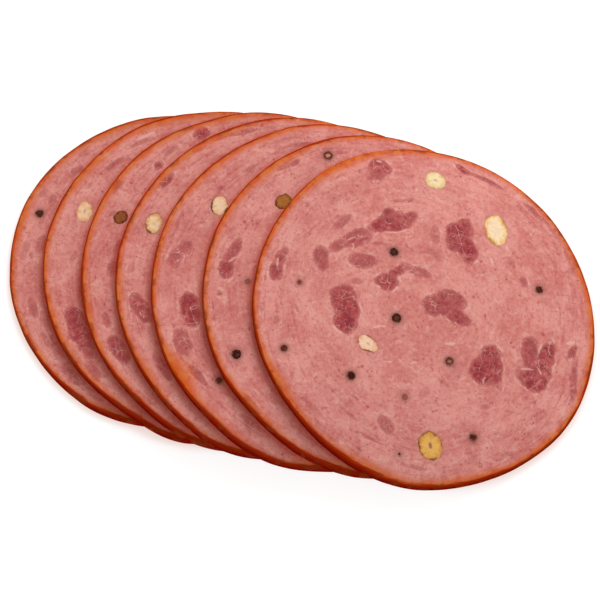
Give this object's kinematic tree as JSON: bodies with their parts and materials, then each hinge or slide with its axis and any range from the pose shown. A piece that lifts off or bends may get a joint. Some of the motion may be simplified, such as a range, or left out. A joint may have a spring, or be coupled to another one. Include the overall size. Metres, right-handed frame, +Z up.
{
  "type": "sliced smoked ham",
  "caption": "Fanned round slices of smoked ham loaf with pistachios and peppercorns, each slice draped over the one before.",
  "frame": {"origin": "middle of the fan's footprint, on the table", "axes": "+X along the fan from the lowest slice to the top one, +Z up"},
  "size_m": [0.189, 0.1138, 0.0266],
  "materials": {
    "cured_meat": "moist pink cut faces with darker lean pieces, pale fat threads and an orange-brown smoked rim",
    "pistachio": "dull cream and yellow-green cut kernel with a thin brown-green skin",
    "peppercorn": "dull dark brown, wrinkled, paler at the core"
  },
  "bodies": {
    "root": {"slice_1": "cured_meat", "slice_2": "cured_meat", "slice_3": "cured_meat", "slice_4": "cured_meat", "slice_5": "cured_meat", "slice_6": "cured_meat", "slice_7": "cured_meat", "peppercorn_1": "peppercorn", "peppercorn_5_near": "peppercorn", "peppercorn_6_far": "peppercorn", "peppercorn_6_left": "peppercorn", "peppercorn_6_near": "peppercorn", "peppercorn_7_a": "peppercorn", "peppercorn_7_b": "peppercorn", "peppercorn_7_c": "peppercorn", "peppercorn_7_d": "peppercorn", "peppercorn_7_e": "peppercorn", "peppercorn_7_f": "peppercorn", "peppercorn_7_g": "peppercorn", "peppercorn_7_h": "peppercorn", "peppercorn_7_i": "peppercorn", "peppercorn_7_j": "peppercorn", "pistachio_2": "pistachio", "pistachio_3": "pistachio", "pistachio_4": "pistachio", "pistachio_5": "pistachio", "pistachio_6": "pistachio", "pistachio_7_far": "pistachio", "pistachio_7_middle": "pistachio", "pistachio_7_near": "pistachio", "pistachio_7_right": "pistachio"}
  },
  "joints": []
}
